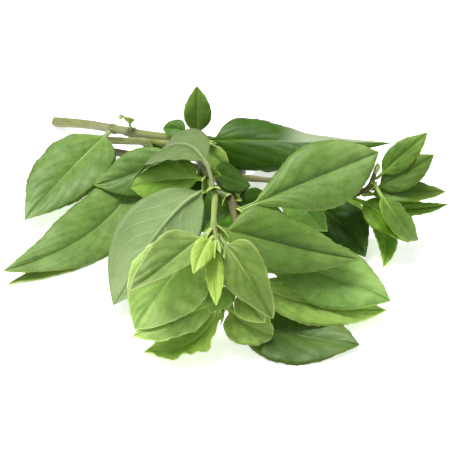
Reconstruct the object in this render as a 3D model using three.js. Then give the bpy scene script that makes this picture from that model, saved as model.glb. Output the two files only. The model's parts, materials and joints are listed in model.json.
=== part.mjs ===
// A loose bunch of four cut basil sprigs lying on a surface.
// Millimetres, +Z up. The cut stem ends lie together at the back left; the leafy tips fan out
// to the front (-Y), the right (+X) and the left. Each stem, shoot tip and leaf is one solid.
import * as THREE from 'three';

// Driving dimensions. Those of the stem's nodes and of the stalks are shares.
const CLEARANCE = 0.3;
const GROUND = 0;
const STEM_STEP = 7;
const NODE_SWELLING = 1.22;
const NODE_LENGTH = 0.02;
const BLADE_THICKNESS = 0.56;
const KEEL_DEPTH = 1.5;
const KEEL_WIDTH = 0.12;
const THIN_STALK = 0.35;
const STALK_PER_WIDTH = 0.015;
const STALK_SHARE = 0.1;
const STALK_FADES_BY = 0.25;
const WIDEST_AT = 0.42;
const FOLD_LINE = 0.55;
const FOLD_ANGLE = 6;
const EDGE_CURL = -10;
const WAVE_HEIGHT = 0.5;
const WAVE_PHASE = 7;
const BUD_LENGTH = 5;
const BUD_RADIUS = 1.3;

// How finely each kind of solid is divided
const STEM_SIDES = 8;
const BUD_SIDES = 8;
const LEAF_RINGS = 11;
const STALK_RINGS = 3;
const MIDDLE_STALK_RING = 0.6;
const TANGENT_STEP = 0.01;
const STALK_START = 0.02;

const UP = new THREE.Vector3(0, 0, 1);
const radians = THREE.MathUtils.degToRad;

// Colours, from the youngest growth to the oldest
const TONES = {
  bud: 0xb4cf52,
  young: 0x93b843,
  mature: 0x5c8a3a,
  old: 0x35591f,
  green_stem: 0x9db163,
  purple_stem: 0x8d7c6e,
};

function leafMaterial(tone) {
  return new THREE.MeshStandardMaterial({ color: TONES[tone], roughness: 0.5, metalness: 0 });
}

function stemMaterial(tone) {
  return new THREE.MeshStandardMaterial({ color: TONES[tone], roughness: 0.6, metalness: 0 });
}

// The four stems: the points each one runs through, from its cut end to its tip, and its radius
// at both ends. `nodes` are the places along it where a pair of leaves sits.
const STEMS = {
  front: {
    route: [[-58, 88, 2], [-43, 72, 11], [-30, 58, 19], [-16, 44, 25], [-9, 21, 31],
      [-4, -2, 34], [-4, -16, 35], [-4, -27, 35], [-3, -33, 34]],
    radius: [1.7, 0.85],
    nodes: [0.31, 0.45, 0.78, 0.95],
    tone: 'green_stem',
  },
  right: {
    route: [[-55, 80, 2], [-42, 68, 7], [-27, 56, 12], [-10, 39, 18], [-1, 19, 23],
      [3, 3, 25], [4, -9, 25], [5, -24, 23], [4, -35, 20], [1, -41, 15], [-1, -44, 11]],
    radius: [1.7, 0.9],
    nodes: [0.2, 0.45, 0.69, 0.82, 0.96],
    tone: 'purple_stem',
  },
  back: {
    route: [[-76, 103, 2], [-60, 89, 9], [-47, 72, 17], [-31, 54, 25], [-16, 43, 30],
      [-8, 37, 32]],
    radius: [2.2, 1.3],
    nodes: [0.45, 0.59, 0.97],
    tone: 'purple_stem',
  },
  far: {
    route: [[-58, 72, 2], [-43, 66, 3], [-23, 58, 8], [-6, 45, 13], [8, 31, 19], [26, 24, 21],
      [41, 20, 19], [50, 18, 20], [56, 18, 23], [58, 19, 29]],
    radius: [1.6, 0.8],
    nodes: [0.2, 0.6, 0.69, 0.77, 0.95],
    tone: 'purple_stem',
  },
};

// The leaves, by the stem they grow on. `at` is the leaf's place on the stem, `tip` is where its
// tip comes to lie, `width` the blade's full width and `widest` how far along the blade that is.
// `arch` and `swing` bow the midrib up and to the left by that share of its length, most at
// `peak`. `roll` turns the blade about the midrib, right side down, and `twist` is how much the
// roll grows from base to tip. `fold` lifts both halves of the blade, `curl` bends their outer
// parts on from there, `wave` is the height of the ripples at the edge, and `petiole` the
// stalk's share of the length.
const LEAVES = {
  front: [
    { at: 0.3, tip: [-60, 44, 0.3], width: 7, arch: -0.05, tone: 'mature' },
    { at: 0.31, tip: [10, 82, 0.3], width: 18, roll: 10, tone: 'old' },
    { at: 0.45, tip: [-53, 35, 12.8], width: 19, arch: -0.05, roll: -40, tone: 'mature' },
    { at: 0.45, tip: [9, 60, 3], width: 24, arch: 0.03, roll: 10, tone: 'old' },
    { at: 0.65, tip: [10, 19, 23], width: 18, roll: 10, tone: 'old' },
    { at: 0.7, tip: [-37, 22, 20], width: 20, arch: 0.05, roll: -35, petiole: 0.06,
      tone: 'mature' },
    { at: 0.775, tip: [-37, 27, 20], width: 20, arch: 0.3, swing: -0.15, peak: 0.4, roll: 165,
      tone: 'mature' },
    { at: 0.64, tip: [-16, 7, 21], width: 12, roll: -35, tone: 'old' },
    { at: 0.95, tip: [48.5, -28, 22], width: 24, arch: -0.02, roll: 36, petiole: 0.05,
      widest: 0.3, tone: 'mature' },
    { at: 0.96, tip: [-33, -56, 29], width: 18, arch: -0.02, roll: -8, fold: 20, widest: 0.33,
      tone: 'young' },
    { at: 0.96, tip: [-2, -44, 19], width: 9, arch: -0.04, tone: 'mature' },
    { at: 0.985, tip: [-32, -51, 8], width: 28, arch: 0.02, swing: -0.04, roll: -36,
      tone: 'young' },
    { at: 0.985, tip: [17, -51, 13], width: 16, arch: 0.1, swing: -0.04, roll: 42, twist: 30,
      widest: 0.33, tone: 'young' },
    { at: 0.99, tip: [-11, -50, 32], width: 8, arch: 0.1, roll: -25, tone: 'bud' },
    { at: 0.99, tip: [-3, -55, 22], width: 7, arch: 0.02, tone: 'bud' },
  ],
  right: [
    { at: 0.2, tip: [-84, -13, 5.5], width: 27, arch: -0.03, swing: 0.12, roll: -25,
      petiole: 0.06, tone: 'mature' },
    { at: 0.6, tip: [16, 9, 12.5], width: 20, roll: 30, tone: 'old' },
    { at: 0.69, tip: [59.5, 23, 36], width: 27, roll: 36, widest: 0.55, tone: 'mature' },
    { at: 0.67, tip: [30, 6, 6], width: 22, roll: 20, tone: 'old' },
    { at: 0.82, tip: [60, -37, 10], width: 26, arch: -0.02, swing: 0.05, roll: 28, widest: 0.5,
      tone: 'mature' },
    { at: 0.82, tip: [-9, 18, 11.5], width: 18, arch: 0.05, tone: 'old' },
    { at: 0.91, tip: [59, -36, 5], width: 18, arch: -0.085, roll: 24, petiole: 0.1, tone: 'young' },
    { at: 0.94, tip: [-5, -49, 14], width: 12, arch: 0.1, tone: 'mature' },
    { at: 0.95, tip: [14, -52, 12], width: 12, arch: 0.1, roll: 40, tone: 'young' },
    { at: 0.97, tip: [48, -52, 2], width: 33, arch: -0.17, swing: 0.04, peak: 0.25, roll: 6,
      petiole: 0.08, widest: 0.45, tone: 'mature' },
    { at: 0.98, tip: [-33, -53, 6.5], width: 17, roll: -15, tone: 'young' },
    { at: 0.99, tip: [-29, -54, 0.3], width: 21, arch: -0.12, swing: 0.12, roll: -16, fold: 20,
      curl: 10, petiole: 0.06, widest: 0.38, tone: 'young' },
    { at: 0.99, tip: [17, -50, 4], width: 17, arch: 0.03, swing: -0.1, roll: 32, petiole: 0.04,
      tone: 'young' },
    { at: 0.62, tip: [-41, -33, 5], width: 31, arch: 0.12, swing: -0.08, peak: 0.3, roll: 165,
      petiole: 0.1, widest: 0.45, tone: 'mature' },
  ],
  back: [
    { at: 0.45, tip: [-80, 22, 4.5], width: 30, arch: 0.02, roll: -10, petiole: 0.03,
      widest: 0.4, tone: 'mature' },
    { at: 0.45, tip: [-26, 82, 0.3], width: 18, tone: 'mature' },
    { at: 0.59, tip: [-43, 54, 32], width: 6, arch: 0.2, tone: 'young' },
    { at: 0.92, tip: [-25, 47, 32], width: 9, arch: 0.1, roll: -40, tone: 'old' },
    { at: 0.97, tip: [-11, 45, 53], width: 11, arch: 0.1, petiole: 0.08, tone: 'mature' },
    { at: 0.98, tip: [1, 29, 22], width: 9, arch: 0.1, roll: 40, tone: 'young' },
    { at: 0.98, tip: [36, 78, 0.3], width: 18, arch: -0.1, widest: 0.5, tone: 'old' },
    { at: 0.99, tip: [66, 36, 32], width: 24, arch: 0.005, roll: 17, twist: -85, fold: -20,
      petiole: 0.02, widest: 0.26, wave: 0.2, tone: 'old' },
    { at: 0.955, tip: [61, 47, 27], width: 10, arch: -0.05, roll: 180, tone: 'young' },
  ],
  far: [
    { at: 0.2, tip: [-83, -15, 0.3], width: 20, arch: -0.03, swing: 0.12, tone: 'young' },
    { at: 0.5, tip: [-1, 9, 12], width: 18, roll: 10, tone: 'old' },
    { at: 0.69, tip: [40, 8, 9], width: 14, roll: 40, tone: 'mature' },
    { at: 0.68, tip: [54, -2, 4], width: 26, arch: -0.08, swing: 0.2, roll: 26, widest: 0.36,
      tone: 'old' },
    { at: 0.86, tip: [57, 22, 33], width: 9, tone: 'old' },
    { at: 0.86, tip: [60.5, -5.5, 1.5], width: 9, arch: -0.1, swing: 0.35, petiole: 0.3,
      tone: 'mature' },
    { at: 0.84, tip: [71, 2, 8], width: 17, arch: 0.1, swing: 0.05, roll: 10, petiole: 0.35,
      tone: 'mature' },
    { at: 0.985, tip: [78, 26, 43], width: 11, roll: 30, tone: 'mature' },
    { at: 0.9, tip: [87, 14, 18], width: 6, arch: -0.1, roll: 60, petiole: 0.2, tone: 'mature' },
    { at: 0.93, tip: [85.5, 15.5, 22.5], width: 12, arch: 0.03, roll: 15, tone: 'mature' },
    { at: 0.955, tip: [80, 18, 38], width: 13, arch: -0.04, roll: 35, tone: 'mature' },
    { at: 0.975, tip: [75, 5, 7], width: 14, arch: 0.12, swing: -0.2, petiole: 0.2,
      tone: 'mature' },
  ],
};

const PLAIN_LEAF = {
  arch: 0,
  swing: 0,
  peak: 0.5,
  roll: 0,
  twist: 0,
  fold: FOLD_ANGLE,
  curl: EDGE_CURL,
  wave: WAVE_HEIGHT,
  widest: WIDEST_AT,
  petiole: STALK_SHARE,
};

const curves = {};
for (const [name, stem] of Object.entries(STEMS)) {
  curves[name] = new THREE.CatmullRomCurve3(stem.route.map((point) => new THREE.Vector3(...point)));
}

function stemRadius(name, t) {
  const [thick, thin] = STEMS[name].radius;
  return THREE.MathUtils.lerp(thick, thin, t);
}

// How much the stem is swollen at t: most at a node.
function swelling(name, t) {
  const nearest = Math.min(...STEMS[name].nodes.map((node) => Math.abs(node - t)));
  return 1 + (NODE_SWELLING - 1) * Math.exp(-((nearest / NODE_LENGTH) ** 2));
}

// Two unit vectors square to `tangent`: one level, to its right, and one upward.
function sideAndUp(tangent) {
  const side = new THREE.Vector3().crossVectors(tangent, UP).normalize();
  const up = new THREE.Vector3().crossVectors(side, tangent).normalize();
  return [side, up];
}

// A closed cylinder bent along the stem's curve and swollen at its nodes.
function stemGeometry(name) {
  const curve = curves[name];
  const steps = Math.round(curve.getLength() / STEM_STEP);
  const geometry = new THREE.CylinderGeometry(1, 1, 1, STEM_SIDES, steps);
  const place = geometry.attributes.position;
  for (let i = 0; i < place.count; i += 1) {
    const t = place.getY(i) + 0.5;
    const point = curve.getPointAt(t);
    const [side, up] = sideAndUp(curve.getTangentAt(t));
    const radius = stemRadius(name, t) * swelling(name, t);
    point.addScaledVector(side, place.getX(i) * radius);
    point.addScaledVector(up, place.getZ(i) * radius);
    place.setXYZ(i, point.x, point.y, point.z);
  }
  return geometry;
}

// A point of the midrib, at share t of the way from the stem to the tip.
function midribPoint(leaf, t) {
  const u = Math.max(t, 0) ** (Math.log(0.5) / Math.log(leaf.peak));
  const bow = 4 * u * (1 - u) * leaf.length;
  return leaf.base.clone()
    .addScaledVector(leaf.chord, t * leaf.length)
    .addScaledVector(leaf.up, bow * leaf.arch)
    .addScaledVector(leaf.side, -bow * leaf.swing);
}

function midribTangent(leaf, t) {
  const ahead = midribPoint(leaf, t + TANGENT_STEP);
  return ahead.sub(midribPoint(leaf, t - TANGENT_STEP)).normalize();
}

// Points the leaf from `base` to its tip.
function aim(leaf, base) {
  leaf.base = base;
  leaf.chord = new THREE.Vector3(...leaf.tip).sub(base);
  leaf.length = leaf.chord.length();
  leaf.chord.normalize();
  [leaf.side, leaf.up] = sideAndUp(leaf.chord);
}

// Works out what the leaf's few numbers leave open: where its stalk starts, just clear of the
// stem's side, and its length and directions.
function layOut(leaf) {
  const full = { ...PLAIN_LEAF, ...leaf };
  const curve = curves[leaf.stem];
  const node = curve.getPointAt(leaf.at);
  const tangent = curve.getTangentAt(leaf.at);
  aim(full, node);
  const outward = midribTangent(full, STALK_START);
  outward.addScaledVector(tangent, -outward.dot(tangent)).normalize();
  const swollen = stemRadius(leaf.stem, leaf.at) * NODE_SWELLING;
  const reach = swollen + CLEARANCE + stalkRadius(leaf) / 2;
  aim(full, node.clone().addScaledVector(outward, reach));
  return full;
}

// Half the blade's width at share s of the blade, 1 at its widest.
function bladeShape(leaf, s) {
  const basal = leaf.widest / (1 - leaf.widest);
  const shape = (x) => (x ** basal) * (1 - x);
  return shape(s) / shape(leaf.widest);
}

function stalkRadius(leaf) {
  return THIN_STALK + STALK_PER_WIDTH * leaf.width;
}

// Where a ring of the leaf lies: the first few along the stalk, the rest along the blade.
function ringShare(leaf, ring) {
  if (ring < STALK_RINGS - 1) {
    return 0;
  }
  if (ring < STALK_RINGS) {
    return leaf.petiole * MIDDLE_STALK_RING;
  }
  const s = (ring - STALK_RINGS) / (LEAF_RINGS - STALK_RINGS);
  return THREE.MathUtils.lerp(leaf.petiole, 1, s);
}

// The section of a leaf, as shares of its half width and half thickness: two rims, three points
// on the upper face and four on the lower one, which carries the keel of the midrib.
const SECTION = [
  [-1, 0], [-FOLD_LINE, 1], [0, 1], [FOLD_LINE, 1],
  [1, 0], [FOLD_LINE, -1], [KEEL_WIDTH, -KEEL_DEPTH], [-KEEL_WIDTH, -KEEL_DEPTH], [-FOLD_LINE, -1],
];
const LOWER_FACE_STARTS = 4;

// A point of the leaf's skin. The blade rises from the midrib by its fold, bends down again
// outside the fold line and ripples at the edge; a leaf that reaches the ground lies on it.
function leafPoint(leaf, ring, index) {
  const t = ringShare(leaf, ring);
  const s = Math.max((t - leaf.petiole) / (1 - leaf.petiole), 0);
  const blended = Math.min(s / STALK_FADES_BY, 1);
  const tangent = midribTangent(leaf, t);
  const side = leaf.side.clone().addScaledVector(tangent, -leaf.side.dot(tangent)).normalize();
  const up = new THREE.Vector3().crossVectors(side, tangent);
  const roll = radians(leaf.roll + leaf.twist * (t - 0.5));
  const normal = up.multiplyScalar(Math.cos(roll)).addScaledVector(side, Math.sin(roll));
  const left = new THREE.Vector3().crossVectors(normal, tangent);
  const thick = THREE.MathUtils.lerp(stalkRadius(leaf), BLADE_THICKNESS / 2, blended);
  const half = Math.max(leaf.width / 2 * bladeShape(leaf, s), thick * (1 - s));
  const [across, over] = SECTION[index];
  const sign = Math.sign(across);
  const inner = Math.min(Math.abs(across), FOLD_LINE) * half;
  const outer = Math.max(Math.abs(across) - FOLD_LINE, 0) * half;
  const fold = radians(s > 0 ? leaf.fold : 0);
  const curl = fold + radians(s > 0 ? leaf.curl : 0);
  const swell = Math.sin(WAVE_PHASE * s + leaf.width + sign);
  const ripple = leaf.wave * swell * across * across * blended;
  const sheet = midribPoint(leaf, t)
    .addScaledVector(left, sign * (inner * Math.cos(fold) + outer * Math.cos(curl)))
    .addScaledVector(normal, inner * Math.sin(fold) + outer * Math.sin(curl) + ripple);
  sheet.z = Math.max(sheet.z, GROUND + thick);
  return sheet.addScaledVector(normal, over * thick);
}

// The leaf's two ends: where the stalk meets the stem, and the tip.
function leafEnd(leaf, t) {
  const point = midribPoint(leaf, t);
  point.z = Math.max(point.z, GROUND + BLADE_THICKNESS / 2);
  return point;
}

// Splits the quads of the lower face along the same diagonals as those of the upper one, so
// that the two faces of a twisted blade don't cross.
function matchDiagonals(geometry) {
  const around = SECTION.length;
  for (let ring = 1; ring < LEAF_RINGS - 1; ring += 1) {
    for (let i = LOWER_FACE_STARTS; i < around; i += 1) {
      const near = ring * (around + 1) + i;
      const far = near + around + 1;
      const quadsBefore = (ring - 1) * around + i;
      const start = 3 * (around + 2 * quadsBefore);
      geometry.index.array.set([near + 1, near, far, near + 1, far, far + 1], start);
    }
  }
}

// A sphere's net drawn out into a leaf: its first pole is the end of the stalk, its last the tip.
function leafGeometry(leaf) {
  const around = SECTION.length;
  const geometry = new THREE.SphereGeometry(1, around, LEAF_RINGS);
  matchDiagonals(geometry);
  const place = geometry.attributes.position;
  for (let i = 0; i < place.count; i += 1) {
    const ring = Math.floor(i / (around + 1));
    const index = (i % (around + 1)) % around;
    const isEnd = ring === 0 || ring === LEAF_RINGS;
    const point = isEnd ? leafEnd(leaf, ring / LEAF_RINGS) : leafPoint(leaf, ring, index);
    place.setXYZ(i, point.x, point.y, point.z);
  }
  return geometry;
}

// A shoot tip: the closed bud of tiny leaves at the end of a stem, pointed like a flame.
function budGeometry(name) {
  const profile = [[0, 0], [0.7, 0.08], [1, 0.35], [0.6, 0.75], [0, 1]]
    .map(([radius, height]) => new THREE.Vector2(radius * BUD_RADIUS, height * BUD_LENGTH));
  const geometry = new THREE.LatheGeometry(profile, BUD_SIDES);
  const tangent = curves[name].getTangentAt(1);
  const foot = curves[name].getPointAt(1).addScaledVector(tangent, CLEARANCE);
  const turn = new THREE.Quaternion().setFromUnitVectors(new THREE.Vector3(0, 1, 0), tangent);
  return geometry.applyQuaternion(turn).translate(foot.x, foot.y, foot.z);
}

function addPiece(group, name, geometry, material) {
  const mesh = new THREE.Mesh(geometry, material);
  mesh.name = name;
  group.add(mesh);
}

const bunch = new THREE.Group();

for (const [name, stem] of Object.entries(STEMS)) {
  addPiece(bunch, `stem_${name}`, stemGeometry(name), stemMaterial(stem.tone));
  addPiece(bunch, `bud_${name}`, budGeometry(name), leafMaterial('bud'));
  LEAVES[name].forEach((leaf, i) => {
    const geometry = leafGeometry(layOut({ ...leaf, stem: name }));
    addPiece(bunch, `leaf_${name}_${i + 1}`, geometry, leafMaterial(leaf.tone));
  });
}

// The origin is the middle of the bunch's footprint, on the surface it lies on.
const box = new THREE.Box3().setFromObject(bunch, true);
const middle = box.getCenter(new THREE.Vector3());
bunch.position.set(-middle.x, -middle.y, -box.min.z);

export default bunch;
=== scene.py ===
import json
import math

import bmesh
import bpy
import numpy as np
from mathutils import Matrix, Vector


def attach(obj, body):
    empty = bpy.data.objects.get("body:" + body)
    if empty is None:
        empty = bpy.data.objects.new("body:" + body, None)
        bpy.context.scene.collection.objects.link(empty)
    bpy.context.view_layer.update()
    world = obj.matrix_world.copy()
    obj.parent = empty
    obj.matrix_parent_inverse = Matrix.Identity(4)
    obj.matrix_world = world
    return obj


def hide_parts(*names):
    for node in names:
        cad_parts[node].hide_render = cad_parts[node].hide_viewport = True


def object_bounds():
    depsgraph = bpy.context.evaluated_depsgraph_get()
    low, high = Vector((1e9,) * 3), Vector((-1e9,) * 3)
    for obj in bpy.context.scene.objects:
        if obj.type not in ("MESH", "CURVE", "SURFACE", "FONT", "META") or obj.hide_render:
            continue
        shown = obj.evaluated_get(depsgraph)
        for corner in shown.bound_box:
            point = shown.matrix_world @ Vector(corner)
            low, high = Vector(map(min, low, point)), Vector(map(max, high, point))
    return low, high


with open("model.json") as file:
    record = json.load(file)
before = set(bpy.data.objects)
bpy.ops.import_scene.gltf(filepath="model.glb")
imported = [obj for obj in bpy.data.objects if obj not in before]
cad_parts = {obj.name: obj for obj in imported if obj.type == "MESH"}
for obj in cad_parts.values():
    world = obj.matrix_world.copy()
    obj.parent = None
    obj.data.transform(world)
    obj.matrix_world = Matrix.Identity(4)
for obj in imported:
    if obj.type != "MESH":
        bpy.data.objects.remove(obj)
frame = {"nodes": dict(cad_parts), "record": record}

CAD_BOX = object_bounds()
MM = 0.001

# ------------------------------------------------------------------ the CAD solids, read back

LEAF_AROUND = 9          # points round a ring of a leaf: two rims, three above, four below
RIM_TO_RIM = 4           # steps from one rim to the other, over the top
STEM_AROUND = 8
STALK_LAYERS = 4         # a leaf's stalk: the point at its end and three rings
FOLD_AT = 0.55           # where a leaf's fold lines run, as a share of its half width
LINES_AT = (1, FOLD_AT, 0, -FOLD_AT, -1)
WELD = 0.01 * MM
SMALLEST = 1e-12         # keeps `unit` from dividing by nought
SMALL_STEP = 0.02        # how far ahead on a curve, as a share of it, its direction is taken


def in_order(layer):
    """The vertices of one ring, each next to the one before."""
    members = set(layer)
    here = min(layer, key=lambda v: tuple(v.co))
    walk = [here]
    while len(walk) < len(layer):
        near = [e.other_vert(here) for e in here.link_edges]
        onward = [v for v in near if v in members and v not in walk]
        here = min(onward, key=lambda v: tuple(v.co))
        walk.append(here)
    return walk


def rings(node, around):
    """The rings of a CAD solid that ends in a fan of `around` faces at both ends.

    A list of arrays of points, in order round each ring; the first and last hold one point.
    """
    bm = bmesh.new()
    bm.from_mesh(frame["nodes"][node].data)
    bmesh.ops.remove_doubles(bm, verts=bm.verts, dist=WELD)
    ends = [v for v in bm.verts if len(v.link_edges) == around]
    layer = [min(ends, key=lambda v: tuple(v.co))]
    seen = set(layer)
    found = []
    while layer:
        found.append(np.array([v.co[:] for v in in_order(layer)]))
        following = {e.other_vert(v) for v in layer for e in v.link_edges} - seen
        seen |= following
        layer = list(following)
    bm.free()
    return found


def unit(vector):
    return vector / np.maximum(np.linalg.norm(vector, axis=-1, keepdims=True), SMALLEST)


def spread(ring):
    return np.linalg.norm(ring - ring.mean(axis=0), axis=1).mean()


class Sheet:
    """A leaf as five lines of nine points, from the foot of the blade to the tip: one rim, a
    fold line, the midrib, the other fold line and rim. `stalk` is its stalk's centre line."""

    def __init__(self, lines, tops, stalk, radius):
        self.lines = np.asarray(lines, float)
        self.tops = np.asarray(tops, float)
        self.stalk = np.asarray(stalk, float)
        self.radius = radius
        middle = self.lines[:, 2]
        self.length = np.linalg.norm(np.diff(middle, axis=0), axis=1).sum()
        self.half_width = np.linalg.norm(self.lines[:, 0] - self.lines[:, 4], axis=1).max() / 2


def cad_leaf(node):
    """The sheet of a CAD leaf. Its rims are the widest pair of points `RIM_TO_RIM` apart."""
    loft = rings(node, LEAF_AROUND)
    if spread(loft[1]) > spread(loft[-2]):
        loft = loft[::-1]
    lines = []
    tops = []
    for ring in loft[STALK_LAYERS:-1]:
        first = np.linalg.norm(ring - np.roll(ring, -RIM_TO_RIM, axis=0), axis=1).argmax()
        ring = np.roll(ring, -first, axis=0)
        rim_a, over_a, over, over_b, rim_b, under_b, _, _, under_a = ring
        top = unit(over_a - under_a + over_b - under_b)
        thick = np.linalg.norm(over_a - under_a) / 2
        row = [rim_a, (over_a + under_a) / 2, over - top * thick, (over_b + under_b) / 2, rim_b]
        if lines and np.dot(row[0] - row[4], lines[-1][0] - lines[-1][4]) < 0:
            row = row[::-1]
        lines.append(row)
        tops.append(top)
    foot = loft[STALK_LAYERS - 1].mean(axis=0)
    radius = spread(loft[1])
    along = unit(lines[0][2] - foot)
    across = lines[0][0] - lines[0][4]
    across = unit(across - along * np.dot(across, along))
    start = [foot + across * radius * share for share in LINES_AT]
    tip = [loft[-1][0]] * 5
    stalk = [loft[0][0], loft[2].mean(axis=0), foot]
    return Sheet([start, *lines, tip], [tops[0], *tops, tops[-1]], stalk, radius)


# ------------------------------------------------------------------ curves and meshes

def along_curve(points, share):
    """A smooth curve through evenly spaced points, at shares 0 to 1 of the way along it."""
    points = np.asarray(points, float)
    ends = [2 * points[0] - points[1]], [2 * points[-1] - points[-2]]
    padded = np.concatenate([ends[0], points, ends[1]])
    place = np.clip(share, 0, 1) * (len(points) - 1)
    i = np.minimum(place.astype(int), len(points) - 2)
    f = (place - i).reshape((-1,) + (1,) * (points.ndim - 1))
    a, b, c, d = padded[i], padded[i + 1], padded[i + 2], padded[i + 3]
    cubic = -a + 3 * b - 3 * c + d
    square = 2 * a - 5 * b + 4 * c - d
    return 0.5 * (2 * b + (c - a) * f + square * f ** 2 + cubic * f ** 3)


def ease(x, low, high):
    """0 up to `low`, 1 from `high` on."""
    x = np.clip((x - low) / (high - low), 0, 1)
    return x * x * (3 - 2 * x)


def ease_out(x, low, high):
    """1 up to `low`, 0 from `high` on."""
    return ease(-x, -high, -low)


def make_mesh(name, points, faces, face_material, marks, materials):
    """A smooth-shaded object. `marks` are named values, three a point, that materials read."""
    mesh = bpy.data.meshes.new(name)
    mesh.from_pydata(points.tolist(), [], faces)
    mesh.polygons.foreach_set("material_index", face_material)
    mesh.polygons.foreach_set("use_smooth", np.ones(len(faces), bool))
    for mark, values in marks.items():
        layer = mesh.attributes.new(mark, "FLOAT_VECTOR", "POINT")
        layer.data.foreach_set("vector", np.asarray(values, np.float32).ravel())
    for material in materials:
        mesh.materials.append(material)
    mesh.update()
    piece = bpy.data.objects.new(name, mesh)
    bpy.context.scene.collection.objects.link(piece)
    return piece


def tube_faces(rows, around):
    """The quads of `rows` rings of `around` points each."""
    i = np.arange(rows - 1)[:, None] * around
    j = np.arange(around)[None]
    k = (j + 1) % around
    quads = np.stack([i + j, i + k, i + around + k, i + around + j], axis=-1)
    return quads.reshape(-1, 4).tolist()


def orient_outward(points, faces):
    """The same faces, turned if they enclose a negative volume."""
    volume = 0.0
    for face in faces:
        a = points[face[0]]
        for i in range(1, len(face) - 1):
            volume += np.dot(a, np.cross(points[face[i]], points[face[i + 1]]))
    return faces if volume > 0 else [tuple(reversed(face)) for face in faces]


# ------------------------------------------------------------------ leaves

VEIN_SWEEP = 0.5         # how far towards the tip a side vein runs, as a share of the blade
VEIN_BEND = 1.25
# how far side veins stray from even places, in gaps between them; how often along the leaf,
# and how far its seed shifts that
VEIN_WANDER = 0.2
WANDER_RATE = 9
WANDER_SHIFT = 7
# how far one wavers on its way, and how often across and along the leaf
VEIN_WAVER = 0.06
WAVER_ACROSS = 5
WAVER_ALONG = 11
VEIN_STAGGER = 0.35      # how far the veins of one half sit from those of the other

BLADE_THICK = 0.34 * MM
RIM_THICK = 0.1 * MM
RIM_FROM = 0.96          # where the rim starts, as a share of the half width
THINNER_AT_TIP = 0.4
EVENLY = 0.3             # how evenly, from 0 to 1, the points across a half are spaced
CROWDING = 2.2           # how closely the others crowd at the midrib
ACROSS = 15              # points from midrib to rim
ACROSS_SHORT = 10        # and on a leaf of up to SHORT_LEAF mm
SHORT_LEAF = 20
TOOTHED_LEAF = 45        # mm: a leaf this long has the number of teeth that its habit says
MOST_TEETH = 1.15        # as a share of that number
FEWEST_TEETH = 5
ROWS_PER_TOOTH = 6
TEETH_START = (0.16, 0.3)
TEETH_END = (0.9, 1)
TOOTH_SLANT = 1.3
TOOTH_ROOT = 0.3         # how much of a tooth's height is cut into the blade
TOOTH_REACH = 6          # the higher, the closer to the rim the teeth stay
# the two waves that ripple the rim: rate, height, shift by the leaf's seed and shift by side
RIM_WAVES = [(1, 1, 5, 1.7), (2.3, 0.5, 9, 2.9)]
RIPPLE_REACH = 2.5
CUP_REACH = 4
CREASED = 0.6            # how much of the swelling between veins ends in a crease
# where the swelling sets in and where it is gone: across from the midrib, and along
SWELL_ACROSS = (0.03, 0.25), (0.75, 1)
SWELL_ALONG = (0.0, 0.12), (0.9, 1)
GROOVE_START = (0.0, 0.1)
GROOVE_DEPTH = 0.35 * MM
GROOVE_WIDTH = 0.9 * MM
GROOVE_FADE = 0.8
KEEL_HEIGHT = 1.2        # as a share of the stalk's radius, like the next
KEEL_WIDTH = 0.8
KEEL_NARROWS = 0.6
KEEL_TAPER = 1.1
VEIN_RIDGE = 0.12 * MM
VEIN_RIDGE_WIDTH = 0.07  # in gaps between side veins

STALK_ROWS = 12
STALK_ENDS = 0.75        # how far along its centre line the blade takes over
STALK_SWELLING = 0.35    # how much thicker it is where it leaves the stem
SWELLING_ROWS = 2.2      # over how many rows that fades
CHANNEL_DEPTH = 0.55     # of the channel along its upper side, as shares of its radius
CHANNEL_WIDTH = 0.45
STALK_DEEPER = 1.1       # how deep its under side is, as a share of its radius
STALK_FADES_BY = 0.07    # the share of the blade by which the stalk's section is gone
STALK_MARK = (-0.2, -0.01)   # what stands for the share along the blade on the stalk
# where a painted reflection pales one half of a leaf: along it, and across from the midrib
REFLECTION_FROM = (0.36, 0.54)
REFLECTION_SIDE = (-0.15, 0.0)

# A leaf's habit, with lengths in mm:
#   veins    side veins on each half
#   puff     how far the blade swells between them
#   teeth    how many each half of a leaf has that is TOOTHED_LEAF long
#   tooth    how tall they are
#   ripple   how far the rim rises and falls
#   ripples  how often it does
#   bulge    how far each half swells between midrib and rim
#   cup      how far the rim curls up
#   seed     shifts the veins and ripples, so that no two leaves are alike
#   tone     0 cool and dark, 1 warm and light
#   sun      how deep and full a green the whole leaf is, partly its own and partly painted: the green of light seen through leaves in shade
#   shade    how light the whole leaf is, partly its own tone and partly painted light and shade
#   pale     how far a painted reflection pales one half towards the tip; the sign says which half
# Each leaf has all but these from `leaf_habit`, or from what its bud says.
PLAIN_HABIT = {"teeth": 13, "ripples": 2.2, "cup": 0.0, "seed": 0.0, "sun": 0.0, "shade": 1.0,
               "pale": 0.0}


def across_samples(count):
    """Places from the midrib, 0, to the rim, 1: close together at the midrib."""
    u = np.linspace(0, 1, count)
    return EVENLY * u + (1 - EVENLY) * u ** CROWDING


def vein_phase(s, v, habit):
    """Whole numbers lie on the side veins, which are not quite evenly spaced."""
    uneven = VEIN_WANDER * np.sin(WANDER_RATE * s + WANDER_SHIFT * habit["seed"])
    uneven = uneven + VEIN_WAVER * np.sin(WAVER_ACROSS * np.abs(v) + WAVER_ALONG * s)
    shift = np.where(v < 0, VEIN_STAGGER, 0.0)
    return habit["veins"] * (s - VEIN_SWEEP * np.abs(v) ** VEIN_BEND) + shift + uneven


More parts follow.
